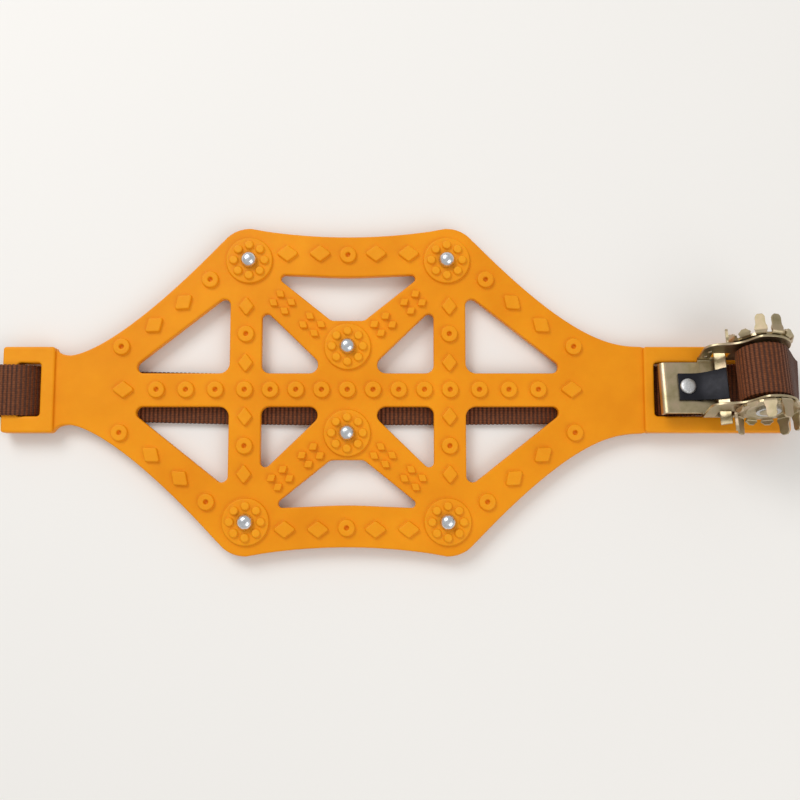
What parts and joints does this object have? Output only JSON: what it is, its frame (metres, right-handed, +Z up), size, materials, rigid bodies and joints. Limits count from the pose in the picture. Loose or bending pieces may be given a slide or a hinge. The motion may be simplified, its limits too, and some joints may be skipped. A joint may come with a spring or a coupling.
{
  "type": "shoe ice cleats",
  "caption": "Strap-on ice grip for one shoe: a moulded rubber lattice with steel studs, held by a webbing strap that a small ratchet winder draws tight.",
  "frame": {"origin": "under the centre of the lattice, on the surface that the cleat lies on; the lattice's centre is where its middle rail and the line through the two middle studs cross", "axes": "+X along the shoe-crossing strap towards the ratchet, +Y across the lattice, +Z up, the way the studs point as the cleat lies"},
  "size_m": [0.3893, 0.1596, 0.0508],
  "materials": {
    "rubber": "satin",
    "stud_steel": "polished",
    "webbing": "woven",
    "yellow_zinc": "satin",
    "spring_steel": "satin",
    "bright_steel": "polished"
  },
  "bodies": {
    "cleat": {"mat": "rubber", "stud_1": "stud_steel", "stud_2": "stud_steel", "stud_3": "stud_steel", "stud_4": "stud_steel", "stud_5": "stud_steel", "stud_6": "stud_steel", "strap": "webbing", "bracket": "yellow_zinc", "pawl_root": "spring_steel", "pawl_rivet": "bright_steel", "rivet_washer": "bright_steel"},
    "spool": {"spindle": "yellow_zinc", "ratchet_wheel_front": "yellow_zinc", "ratchet_wheel_rear": "yellow_zinc", "spindle_cap_front": "bright_steel", "spindle_cap_rear": "bright_steel", "strap_coil": "webbing"},
    "pawl": {"pawl_blade": "spring_steel"}
  },
  "joints": [
    {"name": "spool_turn", "type": "hinge", "parent": "cleat", "child": "spool", "pos_m": [0.1938, 0.00357, 0.03053], "axis": [0, 0.9703, -0.2419], "continuous": true},
    {"name": "pawl_lift", "type": "hinge", "parent": "cleat", "child": "pawl", "pos_m": [0.1663, 0.00021, 0.01704], "axis": [0, 0.9703, -0.2419], "range_deg": [0, 10], "stiffness_Nm_per_rad": 0.3, "springref_deg": -5.73}
  ]
}
